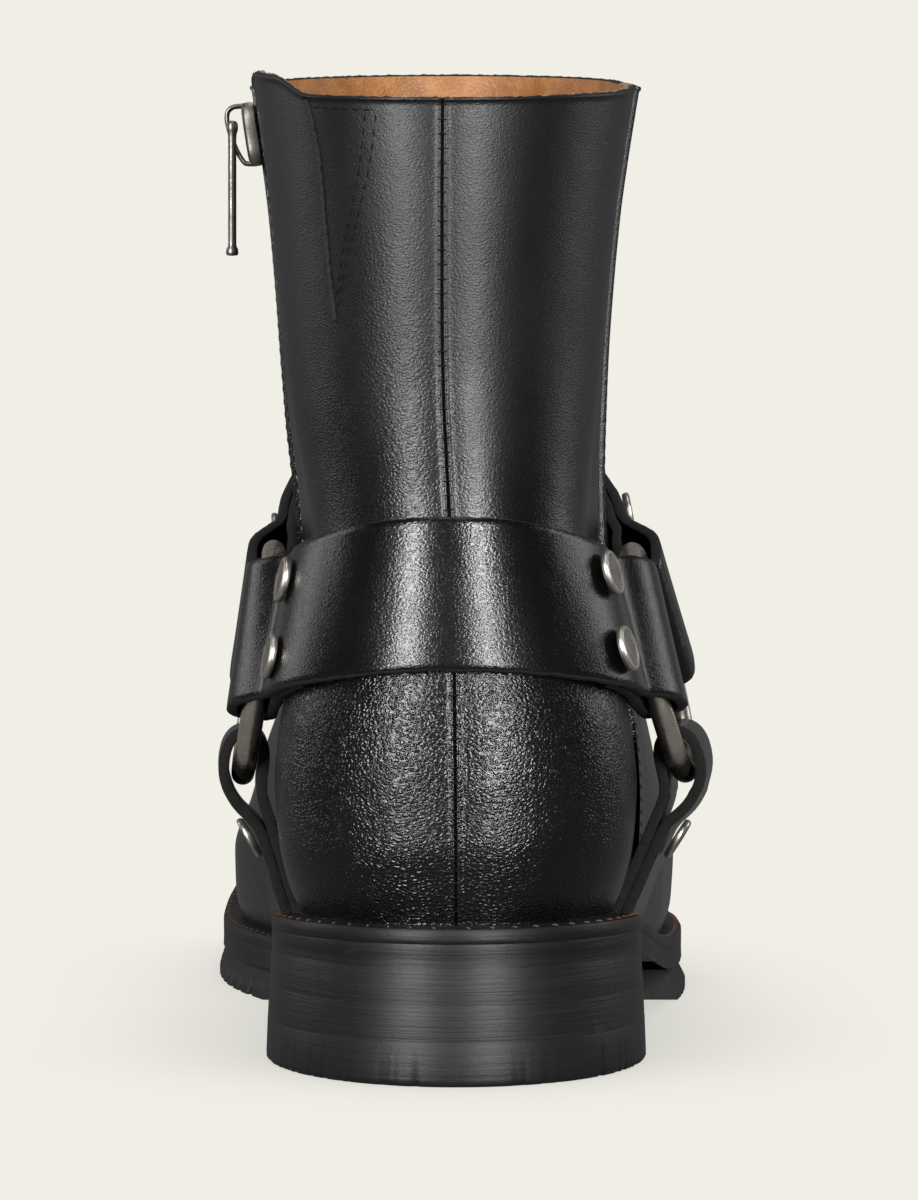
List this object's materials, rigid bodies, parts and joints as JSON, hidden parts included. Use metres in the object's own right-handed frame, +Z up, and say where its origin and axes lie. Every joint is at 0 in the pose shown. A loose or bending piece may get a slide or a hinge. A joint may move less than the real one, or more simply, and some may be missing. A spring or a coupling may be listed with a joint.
{
  "type": "harness boot",
  "caption": "Right short harness boot: hollow leather upper, side zip, ring and strap harness, welted sole with stacked heel and lugged half sole.",
  "frame": {"origin": "on the floor, under the middle of the heel", "axes": "+Y towards the toe, +X to the outer side of the foot, +Z up"},
  "size_m": [0.1094, 0.3, 0.2031],
  "materials": {
    "leather": "black grained leather, semi-gloss",
    "edge": "black inked leather edge",
    "rubber": "matte black rubber",
    "lining": "tan leather lining",
    "metal": "antique nickel"
  },
  "bodies": {
    "boot": {"front_strap": "leather", "front_strap_lateral_rivet_a": "metal", "front_strap_lateral_rivet_b": "metal", "front_strap_medial_rivet_a": "metal", "front_strap_medial_rivet_b": "metal", "half_sole": "rubber", "insole": "lining", "lower_lift": "edge", "lower_strap_lateral": "leather", "lower_strap_lateral_rivet_a": "metal", "lower_strap_medial": "leather", "lower_strap_medial_rivet_a": "metal", "midsole": "edge", "rear_strap": "leather", "rear_strap_lateral_rivet_a": "metal", "rear_strap_lateral_rivet_b": "metal", "rear_strap_medial_rivet_a": "metal", "rear_strap_medial_rivet_b": "metal", "ring_lateral": "metal", "ring_medial": "metal", "top_lift": "rubber", "upper": "leather", "upper_lift": "edge", "welt": "edge", "zip_chain": "metal", "zip_slider": "metal"},
    "pull": {"zip_pull": "metal"}
  },
  "joints": [
    {"name": "zip_pull_swing", "type": "hinge", "parent": "boot", "child": "pull", "pos_m": [-0.04389, 0.03623, 0.18242], "axis": [0.0243, 0.9996, 0.0163], "range_deg": [0, 150]}
  ]
}
